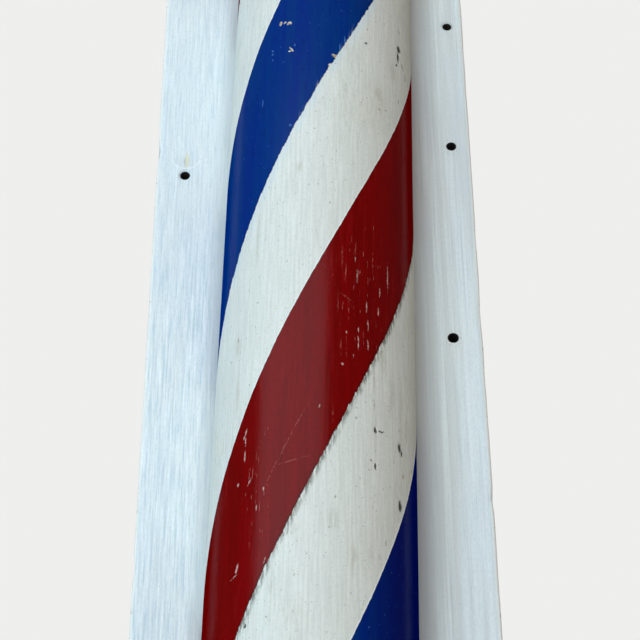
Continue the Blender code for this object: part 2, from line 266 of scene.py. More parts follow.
class SignStageSettings(bpy.types.PropertyGroup):
    """The floor, the light and the camera."""

    window_power: bpy.props.FloatProperty(
        name="Window Light", description="Power of the bright light low at the left", default=5.0,
        unit="POWER",
    )
    cool_power: bpy.props.FloatProperty(
        name="Cool Light", description="Power of the bluish light further left", default=4.0,
        unit="POWER",
    )
    panel_power: bpy.props.FloatProperty(
        name="Panel Light", description="Power of the broad panel in front, which the gloss reflects",
        default=13.0, unit="POWER",
    )
    fill_power: bpy.props.FloatProperty(
        name="Fill Light", description="Power of the warm light at the right", default=1.85,
        unit="POWER",
    )
    sky: bpy.props.FloatProperty(
        name="Room", description="Strength of the light from the pale room", default=1.0, min=0.0,
    )
    lens: bpy.props.FloatProperty(
        name="Lens", description="Focal length on a 36 mm sensor, in millimetres", default=84.375,
    )
    distance: bpy.props.FloatProperty(
        name="Distance", description="From the camera to the board's front face", default=0.5456,
        unit="LENGTH",
    )
    aside: bpy.props.FloatProperty(
        name="Aside", description="How far the camera stands to the right of the board's middle",
        default=0.0018, unit="LENGTH",
    )
    drop: bpy.props.FloatProperty(
        name="Drop", description="How far the camera stands below the board's middle",
        default=0.3213, unit="LENGTH",
    )
    pitch: bpy.props.FloatProperty(
        name="Pitch", description="How far the camera looks up", default=math.radians(29.56),
        subtype="ANGLE",
    )
    swing: bpy.props.FloatProperty(
        name="Swing", description="How far the camera looks to the right",
        default=math.radians(0.043), subtype="ANGLE",
    )
    roll: bpy.props.FloatProperty(
        name="Roll", description="Turn of the camera about its own line", subtype="ANGLE",
        default=math.radians(0.291),
    )


# ---------------------------------------------------------------- finishes

class Signal:
    """A shader socket that Python's own operators work on; each adds a Math node."""

    def __init__(self, tree, socket):
        self.tree = tree
        self.socket = socket

    def maths(self, operation, *others):
        return self.tree.node("ShaderNodeMath", {"operation": operation}, [self, *others])

    def maths_after(self, operation, first):
        return self.tree.node("ShaderNodeMath", {"operation": operation}, [first, self])

    def __add__(self, other):
        return self.maths("ADD", other)

    def __sub__(self, other):
        return self.maths("SUBTRACT", other)

    def __mul__(self, other):
        return self.maths("MULTIPLY", other)

    def __truediv__(self, other):
        return self.maths("DIVIDE", other)

    def __mod__(self, other):
        return self.maths("FLOORED_MODULO", other)

    def __rsub__(self, other):
        return self.maths_after("SUBTRACT", other)

    def __rtruediv__(self, other):
        return self.maths_after("DIVIDE", other)

    def __rmod__(self, other):
        return self.maths_after("FLOORED_MODULO", other)

    __radd__ = __add__
    __rmul__ = __mul__

    def __neg__(self):
        return 0.0 - self

    def __abs__(self):
        return self.maths("ABSOLUTE")

    def root(self):
        return self.maths("SQRT")

    def least(self, other):
        return self.maths("MINIMUM", other)

    def most(self, other):
        return self.maths("MAXIMUM", other)

    def rise(self, low, high):
        """0 below low and 1 above high, with a smooth step between; low may be the larger."""
        return self.tree.node(
            "ShaderNodeMapRange", {"interpolation_type": "SMOOTHSTEP"},
            {"Value": self, "From Min": low, "From Max": high},
        )

    def parts(self):
        """The three numbers of a vector."""
        split = self.tree.node("ShaderNodeSeparateXYZ", {}, [self])
        outputs = split.socket.node.outputs
        return [Signal(self.tree, outputs[axis]) for axis in "XYZ"]


class Nodes:
    """A node tree while it is built: one method adds any node, the rest are short for common ones."""

    def __init__(self, tree):
        self.tree = tree

    def feed(self, socket, value):
        if isinstance(value, Signal):
            self.tree.links.new(value.socket, socket)
        elif socket.type == "RGBA":
            socket.default_value = (*value, 1.0)
        else:
            socket.default_value = value

    def node(self, kind, settings=None, inputs=(), output=0):
        """Adds a node: its settings first, then its sockets' values or links."""
        made = self.tree.nodes.new(kind)
        for name, value in (settings or {}).items():
            setattr(made, name, value)
        pairs = inputs.items() if isinstance(inputs, dict) else enumerate(inputs)
        for key, value in pairs:
            self.feed(made.inputs[key], value)
        return Signal(self, made.outputs[output])

    def vector(self, x, y, z):
        return self.node("ShaderNodeCombineXYZ", {}, [x, y, z])

    def turned(self, vector, foot, turn, unit):
        """The vector in a frame that stands at foot, is turned by turn and is measured in unit."""
        return self.node(
            "ShaderNodeMapping", {"vector_type": "TEXTURE"},
            {"Vector": vector, "Location": foot, "Rotation": turn, "Scale": unit},
        )

    def cloud(self, vector, scale=1.0, detail=2.0, roughness=0.5):
        """Soft noise around 0.5."""
        return self.node(
            "ShaderNodeTexNoise", {},
            {"Vector": vector, "Scale": scale, "Detail": detail, "Roughness": roughness},
        )

    def blend(self, amount, first, second):
        """A colour between two."""
        return self.node(
            "ShaderNodeMix", {"data_type": "RGBA"}, {0: amount, 6: first, 7: second}, output=2
        )


class Finish(Nodes):
    """A material while it is mixed."""

    def __init__(self, name):
        self.material = bpy.data.materials.new(name)
        self.material.use_nodes = True
        super().__init__(self.material.node_tree)
        self.shader = self.tree.nodes["Principled BSDF"]

    def place(self):
        """Where the point is on the finished object, in metres."""
        return self.node("ShaderNodeTexCoord", output="Object")

    def place_mm(self):
        """Where the point is on the finished object, in millimetres."""
        return self.turned(self.place(), (0, 0, 0), (0, 0, 0), (MM, MM, MM))

    def pole_place_mm(self):
        """Where the point is in the pole's own leaning frame, in millimetres."""
        return self.turned(self.place(), AXIS_FOOT, (0.0, LEAN, 0.0), (MM, MM, MM))

    def raised(self, height_mm):
        """A normal from a height in millimetres."""
        return self.node("ShaderNodeBump", {}, {"Distance": MM, "Height": height_mm})

    def set(self, **sockets):
        """Feeds the shader's sockets, which are named with underscores for spaces."""
        for name, value in sockets.items():
            self.feed(self.shader.inputs[name.replace("_", " ")], value)
        return self.material

    def gone_matt(self, amount, colour, normal):
        """Mixes in the same paint with its gloss worn off."""
        matt = self.node(
            "ShaderNodeBsdfPrincipled", {},
            {"Base Color": colour, "Roughness": 0.8, "Specular IOR Level": 0.0, "Normal": normal},
        )
        glossy = Signal(self, self.shader.outputs["BSDF"])
        mixed = self.node("ShaderNodeMixShader", {}, [amount, glossy, matt])
        self.feed(self.tree.nodes["Material Output"].inputs["Surface"], mixed)
        return self.material


def darker(colour, share):
    """The colour with only that share of its light."""
    return tuple(channel * share for channel in colour)


def most_of(signals):
    """The largest of the signals."""
    largest = None
    for signal in signals:
        largest = signal if largest is None else largest.most(signal)
    return largest


def spots(finish, surface, marks, softness=0.35, slim=1.25):
    """1 on any of the marks, each an ellipse on the unrolled pole, and 0 elsewhere."""
    return most_of(one_by_one(finish, surface, marks, softness, slim))


def one_by_one(finish, surface, marks, softness, slim):
    """Each mark's own spot, those of one tilt after another, so that each tilt is turned once."""
    for tilt in sorted({mark[-1] for mark in marks}):
        lean = math.radians(tilt)
        tilted = finish.turned(surface, (0, 0, 0), (0, lean, 0), (1, 1, 1))
        for degrees, up, half_width, half_length, own_tilt in marks:
            if own_tilt != tilt:
                continue
            centre = Vector((math.radians(degrees) * POLE_RADIUS / MM, 0.0, up))
            centre.rotate(Matrix.Rotation(-lean, 3, "Y"))
            scale = Vector((slim / half_width, 0.0, 1.1 / half_length))
            local = finish.node(
                "ShaderNodeVectorMath", {"operation": "MULTIPLY_ADD"}, [tilted, scale, -centre * scale]
            )
            away = finish.node("ShaderNodeVectorMath", {"operation": "LENGTH"}, [local], output="Value")
            yield away.rise(1.0 + softness, 1.0 - softness)


def pole_surface(finish):
    """Millimetres round the pole from its middle line, up it, and out from its axis."""
    across, depth, along = finish.pole_place_mm().parts()
    turn = finish.node("ShaderNodeMath", {"operation": "ARCTAN2"}, [across, -depth])
    out = (across * across + depth * depth).root()
    return turn * (POLE_RADIUS / MM), along, out


class PoleGrain:
    """The patterns that the pole's coats of paint share, laid out on the unrolled pole."""

    def __init__(self, finish):
        round_mm, up_mm, _ = pole_surface(finish)
        self.round_mm = round_mm
        self.up_mm = up_mm
        self.surface = finish.vector(round_mm, 0.0, up_mm)
        self.bristles = finish.cloud(
            finish.vector(round_mm * 0.95, 0.0, up_mm * 0.045), detail=3.0, roughness=0.62
        )
        self.strokes = finish.cloud(finish.vector(round_mm * 0.22, 4.0, up_mm * 0.012), detail=2.0)
        self.patches = finish.cloud(finish.vector(round_mm * 0.035, 9.0, up_mm * 0.022), detail=3.0)
        self.fibres = finish.cloud(
            finish.vector(round_mm * 0.8, 2.0, up_mm * 0.16), detail=3.0, roughness=0.65
        )
        self.grit = finish.cloud(finish.vector(round_mm, 6.0, up_mm * 0.6), scale=1.1, detail=2.0)
        self.jitter = finish.cloud(
            finish.vector(round_mm, 3.0, up_mm), scale=0.9, detail=3.0, roughness=0.7
        )
        self.ragged = finish.vector(
            round_mm + (self.jitter - 0.5) * 1.3, 0.0, up_mm + (self.fibres - 0.5) * 2.4
        )


class StripeEdges:
    """How far the point is inside each edge of the stripes, in millimetres up the pole."""

    def __init__(self, grain, settings):
        climb = settings.climb / (math.tau * POLE_RADIUS)
        blue_start = settings.blue_start / MM
        red_start = settings.red_start / MM
        stripe = settings.stripe / MM
        wander = (grain.patches - 0.5) * 3.2
        up_the_repeat = grain.up_mm - grain.round_mm * climb - settings.start / MM + wander
        ladder = up_the_repeat % (settings.repeat / MM)
        crisp = (grain.fibres - 0.5) * 1.4
        rough = (grain.fibres - 0.5) * 3.6 + (grain.jitter - 0.5) * 2.0 + (grain.strokes - 0.5) * 2.4
        self.blue_lower = ladder - blue_start + rough
        self.blue_upper = (blue_start + stripe) - ladder + crisp
        self.red_lower = ladder - red_start + rough
        self.red_upper = (red_start + stripe) - ladder + crisp


def streaked_white(finish, grain, settings):
    """The white ground: brushed, with painted shade greying it round the right, dirt specks and fine
    checks.
    """
    bristles, strokes, patches = grain.bristles, grain.strokes, grain.patches
    fibres, grit, jitter = grain.fibres, grain.grit, grain.jitter
    white = finish.blend(bristles.rise(0.30, 0.70), darker(settings.white, 0.84), settings.white)
    white = finish.blend(strokes.rise(0.60, 0.35) * 0.35, white, (0.70, 0.71, 0.665))
    # Painted shade: the white greys towards the pole's right side, broken up along the fibres.
    painted_right_shade = grain.round_mm.rise(36.0, 56.0) * fibres.rise(0.26, 0.50)
    white = finish.blend(painted_right_shade * 0.62, white, (0.50, 0.47, 0.38))
    white = finish.blend(patches.rise(0.56, 0.74) * 0.35, white, (0.72, 0.70, 0.61))
    white = finish.blend(jitter.rise(0.56, 0.36) * 0.17, white, (0.50, 0.50, 0.44))
    specks = grit.rise(0.665, 0.720) * jitter.rise(0.45, 0.58)
    white = finish.blend(specks * 0.80, white, (0.26, 0.26, 0.22))
    checks = fibres.rise(0.655, 0.700) * bristles.rise(0.50, 0.62)
    white = finish.blend(checks * 0.70, white, (0.34, 0.34, 0.29))
    handled = patches.rise(0.52, 0.66) * fibres.rise(0.44, 0.60)
    return finish.blend(handled * 0.22, white, (0.44, 0.43, 0.35))


def white_beside_stripes(finish, grain, edges, white):
    """The white with blue wiped under the blue stripe, a painted highlight along the white just above both
    stripes, and a darkening just under the red.
    """
    fibres, strokes = grain.fibres, grain.strokes
    wiped_blue = edges.blue_lower.rise(-11.0, -1.0) * edges.blue_lower.rise(0.5, -0.5)
    wiped_blue = wiped_blue * strokes.rise(0.40, 0.58)
    white = finish.blend(wiped_blue * 0.30, white, (0.50, 0.69, 0.83))
    # Painted highlight: a pale line along the white just above each stripe's upper edge.
    painted_edge_highlight = most_of(
        upper.rise(-1.3, -0.5) * upper.rise(0.4, -0.2) for upper in (edges.blue_upper, edges.red_upper)
    )
    white = finish.blend(painted_edge_highlight * 0.7, white, (0.92, 0.93, 0.92))
    # A darkening along the white just under the red's lower edge.
    under_red = edges.red_lower.rise(-6.0, -0.8) * edges.red_lower.rise(0.6, 0.0)
    under_red_darkening = under_red * fibres.rise(0.38, 0.56) * (1.0 - strokes.rise(0.48, 0.64) * 0.5)
    return finish.blend(under_red_darkening * 0.90, white, (0.15, 0.16, 0.125))


def marked_white(finish, grain, white):
    """The white with its smudges, scuffs and dents, and where the dents are."""
    smudges = spots(finish, grain.ragged, SMUDGES, softness=0.9) * grain.fibres.rise(0.34, 0.52)
    white = finish.blend(smudges * 0.42, white, (0.46, 0.43, 0.34))
    scuffs = spots(finish, grain.ragged, SCUFFS, softness=0.55)
    white = finish.blend(scuffs * 0.60, white, (0.21, 0.175, 0.115))
    dents = spots(finish, grain.ragged, DENTS, slim=1.0)
    return finish.blend(dents * 0.94, white, (0.045, 0.043, 0.036)), dents


def blue_coat(finish, grain, edges, settings):
    """The blue paint: faint streaks, painted shade deepening it round the right, small pale flecks, a dark
    line where it was cut in, and its chips.
    """
    bristles, fibres, grit = grain.bristles, grain.fibres, grain.grit
    coat = finish.blend(grain.strokes.rise(0.35, 0.65), settings.blue, (0.0, 0.030, 0.170))
    # Painted shade: the blue deepens round the pole's right side.
    coat = finish.blend(grain.round_mm.rise(8.0, 40.0) * 0.90, coat, (0.0, 0.002, 0.105))
    coat = finish.blend(bristles.rise(0.60, 0.80) * 0.18, coat, (0.010, 0.08, 0.30))
    coat = finish.blend(fibres.rise(0.44, 0.30) * 0.45, coat, (0.0, 0.004, 0.070))
    cut_in = edges.blue_upper.rise(1.3, 0.2).most(edges.blue_lower.rise(1.5, 0.3))
    coat = finish.blend(cut_in * 0.6, coat, (0.0, 0.008, 0.055))
    flecks = spots(finish, grain.ragged, BLUE_FLECKS, softness=0.5).most(grit.rise(0.71, 0.76) * 0.5)
    coat = finish.blend(flecks * 0.45, coat, (0.10, 0.26, 0.55))
    chips = spots(finish, grain.ragged, TAN_CHIPS)
    chip_wood = finish.blend(grain.jitter.rise(0.46, 0.54), (0.40, 0.27, 0.13), (0.74, 0.72, 0.62))
    return finish.blend(chips * fibres.rise(0.34, 0.44), coat, chip_wood), chips


def brushed_red(finish, grain, edges, settings):
    """The red paint: streaked, duller at the far left, darker where its upper edge was cut in, and darker
    along its lower edge.
    """
    bristles, jitter = grain.bristles, grain.jitter
    coat = finish.blend(grain.strokes.rise(0.38, 0.66), settings.red, (0.160, 0.0004, 0.0004))
    coat = finish.blend(grain.round_mm.rise(-26.0, -50.0) * 0.6, coat, (0.150, 0.0, 0.0))
    coat = finish.blend(bristles.rise(0.54, 0.76) * 0.40, coat, (0.27, 0.016, 0.012))
    coat = finish.blend(bristles.rise(0.46, 0.30) * 0.45, coat, (0.105, 0.0004, 0.0004))
    coat = finish.blend(jitter.rise(0.56, 0.36) * 0.30, coat, (0.095, 0.0004, 0.0004))
    # A darkening along the red's lower edge.
    dark_lower_edge = edges.red_lower.rise(3.4, 0.3) * grain.fibres.rise(0.62, 0.46)
    cut_in = (edges.red_upper.rise(1.4, 0.2) * 0.45).most(dark_lower_edge)
    return finish.blend(cut_in * 0.75, coat, (0.030, 0.004, 0.004))


def scratched_red(finish, grain, coat):
    """The red paint with its hairs and scratches, and where the deepest of them are."""
    hairs = finish.cloud(
        finish.vector(grain.round_mm * 1.5, 8.0, grain.up_mm * 0.13), detail=2.0, roughness=0.6
    )
    rubbed = spots(finish, grain.surface, RUBBED_RED, softness=0.7) * 0.16 - 0.16
    coat = finish.blend((hairs + rubbed).rise(0.635, 0.700) * 0.50, coat, (0.55, 0.24, 0.21))
    coat = finish.blend((hairs - rubbed).rise(0.40, 0.30) * 0.45, coat, (0.07, 0.0004, 0.0004))
    faint = spots(finish, grain.ragged, FAINT_SCRATCHES, softness=0.6) * grain.grit.rise(0.40, 0.60)
    coat = finish.blend(faint * 0.22, coat, (0.58, 0.18, 0.16))
    nicks = spots(finish, grain.ragged, PALE_SCRATCHES, softness=0.5, slim=2.0)
    nicks = nicks * grain.jitter.rise(0.36, 0.50)
    return finish.blend(nicks * 0.80, coat, (0.66, 0.42, 0.36)), nicks


def stripe_finish(settings):
    """Old semi-gloss oil paint: a white ground with a blue and a red stripe, brushed along the grain."""
    finish = Finish("striped_oil_paint")
    grain = PoleGrain(finish)
    edges = StripeEdges(grain, settings)
    bristles = grain.bristles
    starved = grain.patches.rise(0.50, 0.60) * edges.blue_lower.rise(5.0, 0.0) * bristles.rise(0.48, 0.66)
    blue = edges.blue_lower.rise(-0.4, 0.6) * edges.blue_upper.rise(-0.35, 0.35) * (1.0 - starved * 0.35)
    red = edges.red_lower.rise(-0.4, 0.6) * edges.red_upper.rise(-0.35, 0.35)

    white = streaked_white(finish, grain, settings)
    white = white_beside_stripes(finish, grain, edges, white)
    white, dents = marked_white(finish, grain, white)
    over_blue, chips = blue_coat(finish, grain, edges, settings)
    over_red = brushed_red(finish, grain, edges, settings)
    over_red, nicks = scratched_red(finish, grain, over_red)
    colour = finish.blend(blue, white, over_blue)
    colour = finish.blend(red, colour, over_red)

    laid = blue.most(red)
    broken = (dents * (1.0 - laid)).most(chips * blue).most(nicks * red)
    roughness = settings.gloss + bristles * 0.12 + (1.0 - laid) * 0.10 + broken * 0.35
    brushed = bristles * 0.034 + grain.fibres * 0.016 + grain.strokes * 0.04
    normal = finish.raised(brushed + laid * 0.05 - broken * 0.12 + grain.grit * 0.004)
    finish.set(Base_Color=colour, Roughness=roughness, Normal=normal, IOR=1.45, Specular_IOR_Level=0.22)
    return finish.gone_matt(abs(grain.round_mm).rise(28.0, 50.0), colour, normal)


class BoardGrain:
    """The patterns that the board's wash and bare wood share, in millimetres across and up it."""

    def __init__(self, finish):
        across, depth, up = finish.place_mm().parts()
        self.across = across
        self.depth = depth
        self.up = up
        self.fine = finish.cloud(
            finish.vector(across * 1.05, depth, up * 0.010), detail=3.0, roughness=0.65
        )
        self.broad = finish.cloud(finish.vector(across * 0.20, depth * 0.2, up * 0.006), detail=2.0)
        self.patch = finish.cloud(finish.vector(across * 0.035, 7.0, up * 0.014), detail=3.0)
        self.grit = finish.cloud(finish.vector(across, depth, up * 0.6), scale=1.0, detail=2.0)
        self.fibre = finish.cloud(
            finish.vector(across * 1.8, depth * 1.4, up * 0.05), detail=3.0, roughness=0.7
        )
        self.brushed = finish.cloud(
            finish.vector(across * 1.1, 5.0, up * 0.045), detail=4.0, roughness=0.72
        )


def streaked_wash(finish, grain, settings):
    """The whitewash, thin along the grain, with stronger strokes at the left and soft grey at the right."""
    across, brushed, broad, fine = grain.across, grain.brushed, grain.broad, grain.fine
    wash = finish.blend(fine.rise(0.30, 0.70), settings.thin_wash, settings.whitewash)
    wash = finish.blend(broad.rise(0.38, 0.64) * 0.45, wash, (0.70, 0.76, 0.79))
    wash = finish.blend(grain.patch.rise(0.46, 0.62) * 0.45, wash, (0.79, 0.80, 0.775))
    left = across.rise(-20.0, -34.0) * (0.55 + grain.up.rise(70.0, -20.0) * 0.45)
    wash = finish.blend(brushed.rise(0.53, 0.36) * (0.30 + left * 0.70), wash, (0.55, 0.65, 0.70))
    wash = finish.blend(brushed.rise(0.54, 0.66) * left * 0.70, wash, (0.93, 0.97, 0.97))
    wash = finish.blend(broad.rise(0.45, 0.62) * across.rise(10.0, 45.0) * 0.5, wash, (0.60, 0.62, 0.62))
    streaked = across.rise(20.0, 45.0) * 0.6 + grain.patch.rise(0.55, 0.70) * 0.4
    wash = finish.blend(fine.rise(0.43, 0.28) * streaked, wash, (0.49, 0.505, 0.51))
    wash = finish.blend(grain.fibre.rise(0.66, 0.74) * 0.4, wash, (0.56, 0.57, 0.55))
    wash = finish.blend(grain.grit.rise(0.58, 0.36) * 0.16, wash, (0.50, 0.55, 0.57))
    return finish.blend(grain.grit.rise(0.71, 0.76) * 0.55, wash, (0.32, 0.32, 0.30))


def dusty_and_shaded_wash(finish, grain, wash):
    """The wash with dust and painted contact shade beside the pole, and a painted shadow of the pole that
    spreads at its right.
    """
    off_axis, _, along = finish.pole_place_mm().parts()
    beside = abs(off_axis) - POLE_RADIUS / MM
    past_shaft = abs(along).rise(SHAFT_HALF / MM + 26.0, SHAFT_HALF / MM)
    sheltered = grain.depth.rise(-15.0, -17.0) * past_shaft
    # Dust along the joint, together with painted contact shade beside the pole.
    dust_and_contact_shade = (beside + (grain.fibre - 0.5) * 3.0).rise(8.0, 0.2) * sheltered
    wash = finish.blend(dust_and_contact_shade * 0.62, wash, (0.46, 0.475, 0.47))
    # Painted shadow: the pole's shadow greys the board at its right.
    right = (beside + (grain.fine - 0.5) * 6.0).rise(17.0, 2.0) * grain.across.rise(0.0, 20.0)
    return finish.blend(right * sheltered * 0.45, wash, (0.40, 0.41, 0.41))


def bare_pine(finish, grain, settings):
    """Bare wood, and the rings of early and late wood that run along its grain."""
    drift = finish.cloud(finish.vector(grain.across * 0.01, 3.0, grain.up * 0.0022), detail=2.0)
    ring_place = grain.across * 0.16 + drift * 14.0 + grain.fibre * 0.15
    rings = finish.node("ShaderNodeMath", {"operation": "SINE"}, [ring_place * math.tau])
    pine = finish.blend(rings.rise(0.2, 0.95), settings.bare_pine, (0.25, 0.13, 0.06))
    pine = finish.blend(grain.fibre.rise(0.40, 0.64) * 0.5, pine, (0.47, 0.34, 0.21))
    return finish.blend(grain.patch.rise(0.50, 0.66) * 0.6, pine, (0.20, 0.145, 0.10)), rings


def rubbed_wash(finish, grain, wash):
    """The wash with its front arrises rubbed, and where the brush left the back bare."""
    from_side = BOARD_HIGH.x / MM - abs(grain.across)
    lapped = (from_side + (grain.fibre - 0.5) * 9.0 + (grain.patch - 0.5) * 8.0).rise(4.0, 1.5)
    on_back = grain.depth.rise(-1.2, -0.7) * (1.0 - lapped)
    rubbed = from_side.rise(1.5, 0.6) * grain.depth.rise(-17.0, -17.8)
    wash = finish.blend(rubbed * 0.7, wash, (0.88, 0.85, 0.78))
    return finish.blend(rubbed * grain.grit.rise(0.64, 0.70) * 0.7, wash, (0.50, 0.42, 0.31)), on_back


def nearest_hole(grain):
    """How far outside the nearest wall hole's bore the point is, in millimetres, seen square on."""
    nearest = None
    for hole_across, hole_up, radius, _ in WALL_HOLES:
        side = grain.across - hole_across / MM
        rise = grain.up - hole_up / MM
        away = (side * side + rise * rise).root() - radius / MM
        nearest = away if nearest is None else nearest.least(away)
    return nearest


def holed_wash(finish, grain, wash):
    """The wash with crumbs of dirt round its holes, and where the holes are, which get a painted near-black
    shade.
    """
    rim = nearest_hole(grain)
    painted_hole_shade = (rim + (grain.grit - 0.5) * 0.25).rise(0.26, 0.08)
    crumbs = rim.rise(3.6, 0.4) * grain.grit.rise(0.60, 0.66) * (1.0 - painted_hole_shade)
    return finish.blend(crumbs * 0.6, wash, (0.36, 0.35, 0.32)), painted_hole_shade


def chipped_wash(finish, grain, wash):
    """The wash with the chip beside the left countersunk hole, and where the chip is."""
    chip_across, chip_up = CHIP_PLACE
    side = abs(grain.across - chip_across + (grain.fibre - 0.5) * 1.5) / 1.4
    rise = abs(grain.up - chip_up + (grain.grit - 0.5) * 3.0) / 6.0
    chip = (side + rise).rise(1.05, 0.75)
    wash = finish.blend(chip, wash, (0.76, 0.73, 0.55))
    shaded = (grain.across - chip_across + 0.6).rise(0.3, -0.3)
    return finish.blend(chip * shaded * 0.6, wash, (0.40, 0.42, 0.36)), chip


def printed_wash(finish, grain, wash):
    """The wash with the ring that a washer left in it, whitened along its lower arc as a painted highlight,
    and where the ring is.
    """
    washer_across, washer_up = WASHER_PLACE
    side = grain.across - washer_across
    rise = grain.up - washer_up
    away = (side * side + rise * rise).root()
    washer_ridge_and_highlight = away.rise(5.4, 6.3) * away.rise(7.0, 6.3) * rise.rise(3.5, -1.5)
    # Painted highlight: the washer's raised ring is whitened along its lower arc.
    wash = finish.blend(washer_ridge_and_highlight * grain.grit.rise(0.34, 0.56) * 0.5, wash, (0.95, 0.98, 0.98))
    inside = away.rise(6.1, 5.2) * rise.rise(1.5, -2.0)
    return finish.blend(inside * 0.25, wash, (0.58, 0.64, 0.66)), washer_ridge_and_highlight


def whitewash_finish(settings):
    """Brushed whitewash over planed pine, thin along the grain, bare on the back, and painted near-black in
    the holes as their shade.
    """
    finish = Finish("brushed_whitewash")
    grain = BoardGrain(finish)
    wash = streaked_wash(finish, grain, settings)
    wash = dusty_and_shaded_wash(finish, grain, wash)
    pine, rings = bare_pine(finish, grain, settings)
    wash, on_back = rubbed_wash(finish, grain, wash)
    wash, painted_hole_shade = holed_wash(finish, grain, wash)
    wash, chip = chipped_wash(finish, grain, wash)
    wash, washer_ridge_and_highlight = printed_wash(finish, grain, wash)
    colour = finish.blend(on_back, wash, pine)
    # Painted shade: the holes' walls are coloured near-black.
    colour = finish.blend(painted_hole_shade, colour, (0.012, 0.008, 0.006))
    brushed = grain.fine * 0.11 + grain.brushed * 0.12 + grain.fibre * 0.04 + grain.grit * 0.012
    height = brushed + washer_ridge_and_highlight * 0.12 + rings * on_back * 0.02 - chip * 0.08
    roughness = 0.60 + grain.fibre * 0.16 + on_back * 0.1 + painted_hole_shade * 0.3
    return finish.set(Base_Color=colour, Roughness=roughness, Normal=finish.raised(height), IOR=1.45)


def turning_finish(name, coat, second, band, settings):
    """Gloss paint on a collar or finial: coat, with second between the band's two distances out."""
    finish = Finish(name)
    round_mm, up_mm, out_mm = pole_surface(finish)
    along_end = abs(up_mm) - SHAFT_HALF / MM
    halved = finish.vector(round_mm * 0.5, out_mm * 0.5, up_mm * 0.5)
    jitter = finish.cloud(halved, scale=1.3, detail=3.0, roughness=0.65)
    rings = finish.cloud(finish.vector(round_mm * 0.02, out_mm * 0.3, up_mm * 1.6), detail=2.0)
    patches = finish.cloud(finish.vector(round_mm * 0.06, out_mm * 0.06, up_mm * 0.06), detail=3.0)
    place = along_end + (patches - 0.5) * 1.4 + (jitter - 0.5) * 0.5
    low, high = band
    banded = place.rise(low - 0.25, low + 0.25) * place.rise(high + 0.25, high - 0.25)
    first = finish.blend(rings.rise(0.35, 0.65), coat, darker(coat, 0.8))
    other = finish.blend(jitter.rise(0.35, 0.65), second, darker(second, 0.86))
    colour = finish.blend(banded, first, other)
    chips = jitter.rise(0.62, 0.66) * patches.rise(0.50, 0.58)
    through = finish.blend(jitter.rise(0.67, 0.70), (0.62, 0.60, 0.53), (0.30, 0.21, 0.12))
    colour = finish.blend(chips, colour, through)
    colour = finish.blend(jitter.rise(0.33, 0.27) * 0.35, colour, (0.06, 0.055, 0.045))
    roughness = settings.gloss + jitter * 0.12 + chips * 0.3
    height = rings * 0.03 + jitter * 0.03 - chips * 0.10
    return finish.set(Base_Color=colour, Roughness=roughness, Normal=finish.raised(height), IOR=1.5)


def steel_finish():
    """Dull screw steel, browned in patches."""
    finish = Finish("old_screw_steel")
    place = finish.place_mm()
    grit = finish.cloud(place, scale=1.6, detail=4.0, roughness=0.7)
    bloom = finish.cloud(place, scale=0.35, detail=2.0)
    rust = (grit * 0.6 + bloom * 0.6).rise(0.52, 0.70)
    colour = finish.blend(rust, (0.36, 0.345, 0.32), (0.17, 0.07, 0.03))
    return finish.set(
        Base_Color=colour, Metallic=1.0 - rust * 0.85, Roughness=0.34 + rust * 0.45,
        Normal=finish.raised(grit * 0.05 + rust * 0.04),
    )


def beech_finish():
    """Bare beech: short dark flecks along the dowel."""
    finish = Finish("bare_beech")
    across, depth, up = finish.place_mm().parts()
    fleck = finish.cloud(finish.vector(across * 1.6, depth * 1.6, up * 0.22), detail=3.0, roughness=0.6)
    tone = finish.cloud(finish.vector(across * 0.4, depth * 0.4, up * 0.03), detail=2.0)
    colour = finish.blend(tone.rise(0.35, 0.65), (0.50, 0.33, 0.18), (0.60, 0.43, 0.26))
    colour = finish.blend(fleck.rise(0.60, 0.70) * 0.7, colour, (0.27, 0.15, 0.07))
    return finish.set(Base_Color=colour, Roughness=0.66, Normal=finish.raised(fleck * 0.05))


def floor_finish():
    """Pale matt studio floor."""
    finish = Finish("pale_floor")
    tone = finish.cloud(finish.place(), scale=3.0, detail=4.0)
    colour = finish.blend(tone.rise(0.3, 0.7), (0.855, 0.85, 0.835), (0.885, 0.88, 0.865))
    return finish.set(Base_Color=colour, Roughness=0.8)


# ---------------------------------------------------------------- shapes

SAME_POINT = 1e-6
WHOLE_TURN = math.tau
HALF_TURN = math.pi
TURNED_SHARP = math.radians(35)
SAWN_SHARP = math.radians(50)


def mesh_from(name, shape, place=None):
    """A mesh from a bmesh, which is freed."""
    mesh = bpy.data.meshes.new(name)
    shape.to_mesh(mesh)
    shape.free()
    if place is not None:
        mesh.transform(place)
    return mesh


def put_in_scene(name, data):
    """A new object of a mesh, light or camera."""
    made = bpy.data.objects.new(name, data)
    bpy.context.scene.collection.objects.link(made)
    return made


def keep_shape(name, shape, finish, stands_for, place=None, sharp=TURNED_SHARP):
    """Makes the piece from its bmesh, with its place in its mesh, and gives it to its body."""
    bmesh.ops.remove_doubles(shape, verts=shape.verts[:], dist=SAME_POINT)
    bmesh.ops.recalc_face_normals(shape, faces=shape.faces[:])
    mesh = mesh_from(name, shape, place)
    mesh.shade_smooth()
    mesh.set_sharp_from_angle(angle=sharp)
    mesh.materials.append(finish)
    piece = put_in_scene(name, mesh)
    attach(piece, "root")
    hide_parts(stands_for)
    return piece


def drill(piece, bits, sharp=TURNED_SHARP):
    """Takes the bits out of the piece for good, and removes them."""
    for bit in bits:
        hole = piece.modifiers.new(bit.name, "BOOLEAN")
        hole.operation = "DIFFERENCE"
        hole.object = bit
    bpy.context.view_layer.update()
    drilled = bpy.data.meshes.new_from_object(
        piece.evaluated_get(bpy.context.evaluated_depsgraph_get())
    )
    piece.modifiers.clear()
    plain = piece.data
    drilled.name = plain.name
    piece.data = drilled
    bpy.data.meshes.remove(plain)
    for bit in bits:
        bpy.data.objects.remove(bit)
    piece.data.set_sharp_from_angle(angle=sharp)


